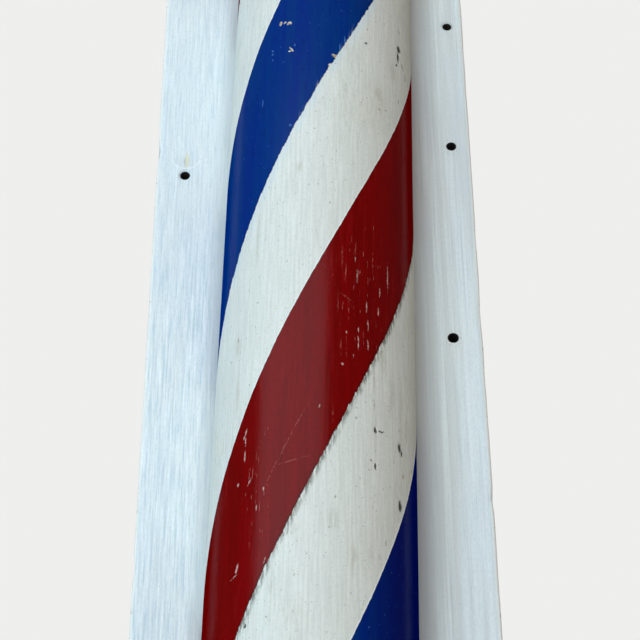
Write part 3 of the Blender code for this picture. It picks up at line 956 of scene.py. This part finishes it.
def drill_bit(name, outline, place, facets=24):
    """A round bit about Z, (radius, height) from top to bottom, set in place."""
    shape = bmesh.new()
    spin_outline(shape, outline, facets, WHOLE_TURN)
    bmesh.ops.recalc_face_normals(shape, faces=shape.faces[:])
    bit = put_in_scene(name, mesh_from(name, shape, place))
    bit.hide_render = True
    return bit


def spin_outline(shape, outline, facets, angle, cuts=0):
    """Spins an outline of (radius, height) points about Z; cuts divides its longest edge."""
    corners = [shape.verts.new((-radius, 0.0, height)) for radius, height in outline]
    edges = [shape.edges.new(pair) for pair in zip(corners, corners[1:])]
    if cuts:
        longest = max(edges, key=lambda edge: edge.calc_length())
        bmesh.ops.subdivide_edges(shape, edges=[longest], cuts=cuts)
    bmesh.ops.spin(
        shape, geom=shape.verts[:] + shape.edges[:], cent=(0, 0, 0), axis=(0, 0, 1),
        dvec=(0, 0, 0), angle=angle, steps=facets, use_merge=angle == WHOLE_TURN,
        use_duplicate=False,
    )
    bmesh.ops.remove_doubles(shape, verts=shape.verts[:], dist=SAME_POINT)


def split_turning(outline, facets, cuts=0):
    """The front half of a turning about Z, with its sawn flat a gap in front of the board."""
    shape = bmesh.new()
    spin_outline(shape, outline, facets, HALF_TURN, cuts)
    cut = bmesh.ops.bisect_plane(
        shape, geom=shape.verts[:] + shape.edges[:] + shape.faces[:], dist=1e-7,
        plane_co=(0, -GAP, 0), plane_no=(0, 1, 0), clear_outer=True,
    )
    rim = [item for item in cut["geom_cut"] if isinstance(item, bmesh.types.BMEdge)]
    bmesh.ops.contextual_create(shape, geom=rim)
    return shape


def arc(centre_out, centre_radius, half_length, rise, start, end, count):
    """Points (out, radius) of an elliptic arc: 180 degrees is towards the shaft, 90 is outward."""
    angles = [math.radians(start + (end - start) * step / count) for step in range(count + 1)]
    return [
        (centre_out + half_length * math.cos(a), centre_radius + rise * math.sin(a)) for a in angles
    ]


def collar_outline():
    """The collar from the shaft's end outward, in millimetres: base, bead, step, cove, fillet, rim."""
    outline = [(0.0, 0.0), (0.0, 41.6), (0.4, 42.0), (2.7, 42.0), (3.0, 41.7)]
    outline += arc(8.0, 41.0, 5.0, 5.0, 180, 0, 22)
    outline += [(13.0, 39.9), (13.3, 39.5), (15.2, 39.5), (15.5, 39.2)]
    outline += arc(28.5, 38.5, 13.0, 7.5, 180, 270, 18)
    outline += [(28.5, 31.7), (28.8, 32.0), (30.3, 32.0), (30.6, 31.7)]
    outline += arc(35.0, 31.0, 4.4, 3.5, 180, 0, 16)
    outline += [(39.4, 0.0)]
    return outline


def finial_outline():
    """The finial from the collar's end outward, in millimetres: base, cove, ring, ball and button."""
    outline = [(0.0, 0.0), (0.0, 27.1), (0.4, 27.5), (1.9, 27.5), (2.2, 27.2)]
    outline += arc(11.5, 25.5, 9.3, 6.0, 180, 270, 14)
    outline += arc(13.6, 19.5, 2.1, 2.1, 165, 15, 10)
    outline += arc(33.0, 0.0, 26.0, 26.0, 131.4, 13.4, 44)
    outline += arc(59.5, 0.0, 5.0, 5.0, 90, 0, 10)
    outline[-1] = (64.5, 0.0)
    return outline


def up_the_pole(outline, start, side):
    """The outline, in metres and from top to bottom; side is +1 for the upper end of the pole."""
    placed = [(radius * MM, side * (start + out * MM)) for out, radius in outline]
    return placed[::-1] if side > 0 else placed


def hand_worn(shape, amount, reach):
    """Moves each point a little along its normal, so that the turning isn't machine true."""
    shape.normal_update()
    for vert in shape.verts:
        if vert.co.y < -2 * GAP:
            vert.co += vert.normal * amount * noise.noise(vert.co / reach)


def turn_both_ends(kind, outline, start, paint):
    """Makes the upper and the lower turning of one kind, its outline starting at start up the pole."""
    for end, side in (("upper", 1), ("lower", -1)):
        shape = split_turning(up_the_pole(outline, start, side), facets=72)
        hand_worn(shape, 0.16 * MM, 0.02)
        piece = keep_shape(
            f"{end}_{kind}_turning", shape, paint, f"{end}_{kind}", place=TO_ROW
        )
        drill(piece, pole_bits(piece))


def screw_nodes():
    """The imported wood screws' names and where each meets the board's back, in the row frame."""
    found = []
    for name in sorted(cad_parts):
        if name.startswith("shaft_screw") or name.endswith("_screw"):
            centre = middle(name)
            found.append((name, Vector((centre.x, BOARD_HIGH.y, centre.z))))
    return found


def screw_bit(name, back):
    """The countersink, clearance and pilot hole of a wood screw."""
    past = 1.0 * MM
    hole = 2.7 * MM
    mouth = 5.2 * MM + past
    outline = [
        (0.0, past), (mouth, past), (hole, past - (mouth - hole)), (hole, -33 * MM), (0.0, -39 * MM),
    ]
    place = Matrix.Translation(back) @ Matrix.Rotation(-math.pi / 2, 4, "X")
    return drill_bit(name + "_bit", outline, place)


def cut_thread(shape):
    """Raises a thread on the screw's core, tapered at both ends."""
    for vert in shape.verts:
        depth = -vert.co.z
        if THREAD_START < depth < THREAD_END:
            turn = math.atan2(vert.co.y, vert.co.x) / math.tau
            saw = abs(((depth / THREAD_PITCH + turn) % 1.0) - 0.5) * 2.0
            taper = min(1.0, (THREAD_END - depth) / (4 * MM), (depth - THREAD_START) / MM)
            radius = SCREW_CORE + (THREAD_CREST - SCREW_CORE) * taper * max(0.0, 1.0 - 2.2 * saw)
            flat = Vector((vert.co.x, vert.co.y, 0.0)).normalized() * radius
            vert.co = Vector((flat.x, flat.y, vert.co.z))


def slot_cutter(name, place):
    """The block that cuts a screw's slot."""
    length, width, depth = SLOT_BLOCK
    shape = bmesh.new()
    bmesh.ops.create_cube(shape, size=1.0, matrix=place @ Matrix.Diagonal((length, width, depth, 1.0)))
    return put_in_scene(name + "_slot", mesh_from(name + "_slot", shape))


def dowel_nodes():
    """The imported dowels' names, centres, radii and half lengths along the pole."""
    found = []
    for name in sorted(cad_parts):
        if "_dowel" in name:
            low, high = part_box(name)
            radius = (high.y - low.y) / 2
            half = ((high.z - low.z) / 2 - radius * math.sin(LEAN)) / math.cos(LEAN)
            found.append((name, middle(name), radius, half))
    return found


def dowel_bit(name, centre, radius, half):
    """The blind hole on both sides of a dowel."""
    wide, end = radius + GAP, half + MM
    outline = [(0.0, end), (wide, end), (wide, -end), (0.0, -end)]
    place = Matrix.Translation(centre) @ Matrix.Rotation(LEAN, 4, "Y")
    return drill_bit(name + "_bit", outline, place)


def flute(shape, radius):
    """Presses the flutes into a dowel's side."""
    for vert in shape.verts:
        if math.hypot(vert.co.x, vert.co.y) > radius - 0.1 * MM:
            hollow = max(0.0, math.cos(FLUTES * math.atan2(vert.co.y, vert.co.x)) - 0.2)
            vert.co.x *= 1.0 - FLUTE_DEPTH * hollow
            vert.co.y *= 1.0 - FLUTE_DEPTH * hollow


def pole_bits(piece):
    """The bits that reach into this piece of the pole."""
    low, high = piece.bound_box[0][2], piece.bound_box[6][2]
    bits = []
    for name, back in screw_nodes():
        if low < back.z < high:
            bits.append(screw_bit(name, back))
    for name, centre, radius, half in dowel_nodes():
        if low - half < centre.z < high + half:
            bits.append(dowel_bit(name, centre, radius, half))
    return bits


def wall_hole_bit(number, across, up, radius, mouth):
    """The bit of a wall screw hole, with its countersink if it has one."""
    past = 1.5 * MM
    end = -(BOARD_HIGH.y - BOARD_LOW.y) - past
    head = mouth + past if mouth else radius
    outline = [(0.0, past), (head, past)]
    if mouth:
        outline.append((radius, past - (head - radius)))
    outline += [(radius, end), (0.0, end)]
    place = Matrix.Translation((across, FRONT, up)) @ Matrix.Rotation(math.pi / 2, 4, "X")
    return drill_bit(f"wall_hole_bit_{number}", outline, place, facets=32)


def denser_near(shape, places, cuts):
    """Divides the edges near each of (point, reach)."""
    for point, reach in places:
        near = [
            edge for edge in shape.edges
            if all((vert.co - point).length < reach for vert in edge.verts)
        ]
        bmesh.ops.subdivide_edges(shape, edges=near, cuts=cuts, use_grid_fill=True)


def on_the_face(degrees, up):
    """The point on the pole's face that many degrees round and millimetres up."""
    turn = math.radians(degrees)
    return Vector((math.sin(turn) * POLE_RADIUS, -math.cos(turn) * POLE_RADIUS, up * MM))


def press_dents(shape, marks, depth):
    """Pushes each mark into the pole's face."""
    for degrees, up, half_width, half_length, tilt in marks:
        turn = math.radians(degrees)
        lean = math.radians(tilt)
        point = on_the_face(degrees, up)
        reach = 1.5 * max(half_width, half_length) * MM
        for vert in shape.verts:
            if (vert.co - point).length > reach:
                continue
            around = (math.atan2(vert.co.x, -vert.co.y) - turn) * POLE_RADIUS / MM
            above = vert.co.z / MM - up
            side = (around * math.cos(lean) - above * math.sin(lean)) / (half_width * DENT_SPREAD)
            end = (around * math.sin(lean) + above * math.cos(lean)) / (half_length * DENT_SPREAD)
            hollow = max(0.0, 1.0 - side * side - end * end)
            inward = Vector((vert.co.x, vert.co.y, 0.0)).normalized()
            vert.co -= inward * depth * hollow


# ---------------------------------------------------------------- operators

class SIGN_OT_camera(bpy.types.Operator):
    """Sets the camera up: below the middle of the board, close in front, looking up the pole"""

    bl_idname = "sign.camera"
    bl_label = "Camera"

    def execute(self, context):
        stage = context.scene.sign_stage
        camera = put_in_scene("camera", bpy.data.cameras.new("camera"))
        camera.data.sensor_width = SENSOR_WIDTH
        camera.data.lens = stage.lens
        camera.data.clip_start = 0.05
        camera.data.clip_end = 50.0
        camera.location = (stage.aside, FRONT - stage.distance, -stage.drop)
        ahead = Vector((
            math.sin(stage.swing) * math.cos(stage.pitch), math.cos(stage.pitch), math.sin(stage.pitch),
        ))
        right = ahead.cross(Vector((0.0, 0.0, 1.0))).normalized()
        level = Matrix((right, right.cross(ahead), -ahead)).transposed()
        turn = level @ Matrix.Rotation(-stage.roll, 3, "Z")
        camera.rotation_mode = "QUATERNION"
        camera.rotation_quaternion = turn.to_quaternion()
        context.scene.camera = camera
        return {"FINISHED"}


class SIGN_OT_backboard(bpy.types.Operator):
    """Makes the board: planed faces, worn and knocked arrises, and its screw holes"""

    bl_idname = "sign.backboard"
    bl_label = "Backboard"

    def execute(self, context):
        board = context.scene.sign_board
        shape = self.sawn(board)
        denser_near(
            shape, [(Vector((x, FRONT, z)), 0.009) for x, z, _, _ in WALL_HOLES], cuts=2
        )
        self.wear(shape, board)
        piece = keep_shape(
            "whitewashed_board", shape, whitewash_finish(board), "backboard",
            sharp=SAWN_SHARP,
        )
        bits = [screw_bit(name, back) for name, back in screw_nodes()]
        bits += [wall_hole_bit(number, *hole) for number, hole in enumerate(WALL_HOLES, 1)]
        drill(piece, bits, SAWN_SHARP)
        return {"FINISHED"}

    def sawn(self, board):
        """The plank in cells longer up the grain, with its arrises rounded."""
        size = BOARD_HIGH - BOARD_LOW
        shape = bmesh.new()
        place = Matrix.Translation((BOARD_LOW + BOARD_HIGH) / 2) @ Matrix.Diagonal((*size, 1.0))
        bmesh.ops.create_cube(shape, size=1.0, matrix=place)
        for axis, cell in ((0, board.cell), (2, 2 * board.cell), (1, 1.6 * board.cell)):
            run = [
                edge for edge in shape.edges
                if abs((edge.verts[0].co - edge.verts[1].co)[axis]) > 0.9 * size[axis]
            ]
            cuts = round(size[axis] / cell) - 1
            bmesh.ops.subdivide_edges(shape, edges=run, cuts=cuts, use_grid_fill=True)
        arrises = [edge for edge in shape.edges if edge.calc_face_angle(0.0) > 1.0]
        bmesh.ops.bevel(
            shape, geom=arrises, offset=board.arris, offset_type="OFFSET", segments=3,
            profile=0.5, affect="EDGES", material=-1,
        )
        return shape

    def wear(self, shape, board):
        """Uneven faces, rubbed arrises, the knocks in them and the swollen rims of the holes."""
        shape.normal_update()
        for vert in shape.verts:
            point = vert.co.copy()
            edge = min(BOARD_HIGH.x - abs(point.x), BOARD_HIGH.z - abs(point.z))
            grain = noise.noise(Vector((point.x / 0.006, point.y / 0.02, point.z / 0.09)))
            swell = noise.noise(Vector((point.x / 0.05, 2.0, point.z / 0.12)))
            vert.co += vert.normal * board.relief * (0.5 * grain + swell)
            if edge < 2 * board.arris:
                rub = max(0.0, noise.noise(Vector((point.x, point.y, point.z / 3)) / 0.006))
                vert.co -= vert.normal * 0.0005 * rub * (1 - edge / (2 * board.arris))
            if edge < KNOCK_REACH and point.y < FRONT + KNOCK_REACH:
                self.knock(vert, point, edge)
            if vert.normal.y < -0.5:
                self.raise_rims(vert, point)

    def knock(self, vert, point, edge):
        """Dents the front arris where something has hit it."""
        for side, up, half, depth in ARRIS_KNOCKS:
            if point.x * side > 0:
                hollow = max(0.0, 1 - ((point.z - up) / half) ** 2)
                vert.co.x -= side * depth * hollow * (1 - edge / KNOCK_REACH)
                vert.co.y += 0.5 * depth * hollow * (1 - edge / KNOCK_REACH)

    def raise_rims(self, vert, point):
        """Paint stands up round a plain hole, and a washer has left its ring round a countersunk one."""
        for across, up, radius, mouth in WALL_HOLES:
            away = math.hypot(point.x - across, point.z - up)
            if mouth:
                ring = math.exp(-((away - 0.0078) / 0.0006) ** 2)
                vert.co.y += 0.00018 * ring
            else:
                swelling = math.exp(-((away - radius - 0.0007) / 0.0008) ** 2)
                vert.co.y -= 0.00022 * swelling


class SIGN_OT_pole_shaft(bpy.types.Operator):
    """Makes the half-round shaft with its dents, and paints its stripes"""

    bl_idname = "sign.pole_shaft"
    bl_label = "Pole Shaft"

    def execute(self, context):
        ease = 0.8 * MM
        outline = [
            (0.0, SHAFT_HALF), (POLE_RADIUS - ease, SHAFT_HALF), (POLE_RADIUS, SHAFT_HALF - ease),
            (POLE_RADIUS, ease - SHAFT_HALF), (POLE_RADIUS - ease, -SHAFT_HALF), (0.0, -SHAFT_HALF),
        ]
        shape = split_turning(outline, facets=96, cuts=260)
        near = [
            (on_the_face(degrees, up), (max(half_width, half_length) + 2.0) * MM)
            for degrees, up, half_width, half_length, _ in DENTS
        ]
        denser_near(shape, near, cuts=2)
        hand_worn(shape, 0.10 * MM, 0.07)
        press_dents(shape, DENTS, 0.5 * MM)
        piece = keep_shape(
            "striped_shaft", shape, stripe_finish(context.scene.sign_pole),
            "pole_shaft", place=TO_ROW, sharp=SAWN_SHARP,
        )
        drill(piece, pole_bits(piece), SAWN_SHARP)
        return {"FINISHED"}


class SIGN_OT_collars(bpy.types.Operator):
    """Makes the upper and lower collar: split turnings of beads and a cove"""

    bl_idname = "sign.collars"
    bl_label = "Collars"

    def execute(self, context):
        pole = context.scene.sign_pole
        paint = turning_finish("collar_oil_paint", pole.blue, pole.white, WHITE_COVE, pole)
        turn_both_ends("collar", collar_outline(), SHAFT_HALF + GAP, paint)
        return {"FINISHED"}


class SIGN_OT_finials(bpy.types.Operator):
    """Makes the upper and lower finial: split turnings that end in a ball and a button"""

    bl_idname = "sign.finials"
    bl_label = "Finials"

    def execute(self, context):
        pole = context.scene.sign_pole
        paint = turning_finish("finial_oil_paint", pole.red, pole.white, WHITE_NECK, pole)
        turn_both_ends("finial", finial_outline(), SHAFT_HALF + FINIAL_START * MM + GAP, paint)
        return {"FINISHED"}


class SIGN_OT_screws(bpy.types.Operator):
    """Makes the slotted wood screws with their threads"""

    bl_idname = "sign.screws"
    bl_label = "Wood Screws"

    def execute(self, context):
        steel = steel_finish()
        for number, (name, back) in enumerate(screw_nodes()):
            shape = bmesh.new()
            spin_outline(shape, SCREW_OUTLINE, 24, WHOLE_TURN, cuts=64)
            cut_thread(shape)
            place = (
                Matrix.Translation(back - Vector((0.0, SCREW_DROP, 0.0)))
                @ Matrix.Rotation(-math.pi / 2, 4, "X")
                @ Matrix.Rotation(math.radians(SLOT_TURN * number), 4, "Z")
            )
            piece = keep_shape(name + "_steel", shape, steel, name, place=place)
            drill(piece, [slot_cutter(name, place)])
        return {"FINISHED"}


class SIGN_OT_dowels(bpy.types.Operator):
    """Makes the fluted dowels between the turnings"""

    bl_idname = "sign.dowels"
    bl_label = "Dowels"

    def execute(self, context):
        beech = beech_finish()
        chamfer = 0.8 * MM
        for name, centre, radius, half in dowel_nodes():
            shape = bmesh.new()
            outline = [
                (0.0, half), (radius - chamfer, half), (radius, half - chamfer),
                (radius, chamfer - half), (radius - chamfer, -half), (0.0, -half),
            ]
            spin_outline(shape, outline, 48, WHOLE_TURN, cuts=6)
            flute(shape, radius)
            place = Matrix.Translation(centre) @ Matrix.Rotation(LEAN, 4, "Y")
            keep_shape(name + "_beech", shape, beech, name, place=place)
        return {"FINISHED"}


class SIGN_OT_stage(bpy.types.Operator):
    """Lays the pale floor and sets the soft lights"""

    bl_idname = "sign.stage"
    bl_label = "Stage"

    def execute(self, context):
        stage = context.scene.sign_stage
        shape = bmesh.new()
        bmesh.ops.create_grid(shape, x_segments=8, y_segments=8, size=FLOOR_SIZE,
                              matrix=Matrix.Translation((0, 0, BOARD_LOW.z - 0.5 * MM)))
        mesh = mesh_from("studio_floor", shape)
        mesh.materials.append(floor_finish())
        put_in_scene("studio_floor", mesh)
        for name, power, colour, size, azimuth, elevation in (
            ("window_light", stage.window_power, (0.77, 0.99, 1.0), (0.56, 0.62), -30.0, -3.0),
            ("cool_light", stage.cool_power, (0.05, 0.50, 1.0), (0.56, 0.62), -50.0, -3.0),
            ("panel_light", stage.panel_power, (0.88, 0.95, 1.0), (2.1, 1.2), -25.0, 16.5),
            ("fill_light", stage.fill_power, (1.0, 0.73, 0.50), (0.71, 0.62), 17.5, -3.0),
        ):
            light = self.soft_light(name, power, colour, size)
            self.aim(light, math.radians(azimuth), math.radians(elevation))
        self.light_room(context.scene, stage.sky)
        context.scene.view_settings.view_transform = "Standard"
        context.scene.view_settings.look = "None"
        return {"FINISHED"}

    def soft_light(self, name, power, colour, size):
        """A rectangular light."""
        data = bpy.data.lights.new(name, "AREA")
        data.shape = "RECTANGLE"
        data.size, data.size_y = size
        data.energy = power
        data.color = colour
        return put_in_scene(name, data)

    def aim(self, light, turn, rise):
        """Stands the light off in that direction, facing the middle of the board."""
        away = Vector((
            math.sin(turn) * math.cos(rise), -math.cos(turn) * math.cos(rise), math.sin(rise),
        ))
        light.location = away * LIGHT_DISTANCE
        light.rotation_mode = "QUATERNION"
        light.rotation_quaternion = away.to_track_quat("Z", "Y")

    def light_room(self, scene, strength):
        """A pale backdrop in a room that is dim in front of the sign and bright behind and above it."""
        world = bpy.data.worlds.new("pale_room")
        scene.world = world
        world.use_nodes = True
        room = Nodes(world.node_tree)
        _, backward, upward = room.node("ShaderNodeTexCoord", output="Generated").parts()
        light = room.blend(backward.rise(0.45, 0.90), DIM_ROOM, PALE_BACKDROP)
        light = room.blend(upward.rise(0.75, 0.97), light, BRIGHT_CEILING)
        seen = room.node("ShaderNodeLightPath", output="Is Camera Ray")
        light = room.blend(seen, light, PALE_BACKDROP)
        background = world.node_tree.nodes["Background"]
        room.feed(background.inputs["Strength"], strength)
        room.feed(background.inputs["Color"], light)


MAKING_ORDER = ("camera", "backboard", "pole_shaft", "collars", "finials", "screws", "dowels", "stage")


class SIGN_PT_panel(bpy.types.Panel):
    """Lists the sign's pieces and their settings"""

    bl_idname = "SIGN_PT_panel"
    bl_label = "Barber Pole Sign"
    bl_space_type = "VIEW_3D"
    bl_region_type = "UI"
    bl_category = "Barber Pole"

    def draw(self, context):
        scene = context.scene
        for name in MAKING_ORDER:
            self.layout.operator("sign." + name)
        for title, group in (("Backboard", scene.sign_board), ("Pole", scene.sign_pole),
                             ("Stage", scene.sign_stage)):
            box = self.layout.box()
            box.label(text=title)
            for name in group.bl_rna.properties.keys():
                if name not in ("rna_type", "name"):
                    box.prop(group, name)


CLASSES = (
    SignBoardSettings, SignPoleSettings, SignStageSettings,
    SIGN_OT_camera, SIGN_OT_backboard, SIGN_OT_pole_shaft, SIGN_OT_collars, SIGN_OT_finials,
    SIGN_OT_screws, SIGN_OT_dowels, SIGN_OT_stage, SIGN_PT_panel,
)


def register():
    for cls in CLASSES:
        bpy.utils.register_class(cls)
    bpy.types.Scene.sign_board = bpy.props.PointerProperty(type=SignBoardSettings)
    bpy.types.Scene.sign_pole = bpy.props.PointerProperty(type=SignPoleSettings)
    bpy.types.Scene.sign_stage = bpy.props.PointerProperty(type=SignStageSettings)


def unregister():
    del bpy.types.Scene.sign_stage
    del bpy.types.Scene.sign_pole
    del bpy.types.Scene.sign_board
    for cls in reversed(CLASSES):
        bpy.utils.unregister_class(cls)


def main():
    register()
    for name in MAKING_ORDER:
        getattr(bpy.ops.sign, name)()


if __name__ == "__main__":
    main()
